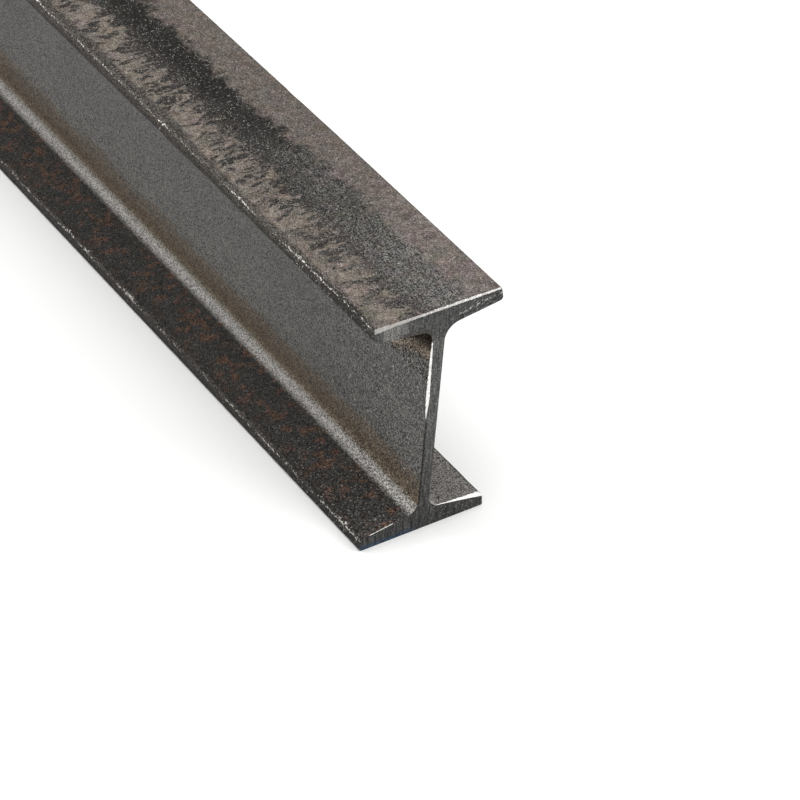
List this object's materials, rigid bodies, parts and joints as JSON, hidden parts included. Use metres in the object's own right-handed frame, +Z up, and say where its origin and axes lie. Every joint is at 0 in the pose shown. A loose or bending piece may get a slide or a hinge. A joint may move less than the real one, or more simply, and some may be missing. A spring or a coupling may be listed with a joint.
{
  "type": "steel i-beam",
  "caption": "Hot-rolled steel I-beam with tapered flanges and rounded roots, sawn to a stock length, with mill scale, rust bloom and hand-ground bevels at one end.",
  "frame": {"origin": "on the floor under the middle of the lower flange, halfway along the bar", "axes": "+Y along the bar away from the end with the ground bevels, +X across the flanges, +Z up through the web"},
  "size_m": [0.0434, 1, 0.08],
  "materials": {
    "rolled_steel": "dark hot-rolled mill scale with tan rust bloom, bare ground bevels at one end"
  },
  "bodies": {
    "root": {"steel_i_beam": "rolled_steel"}
  },
  "joints": []
}
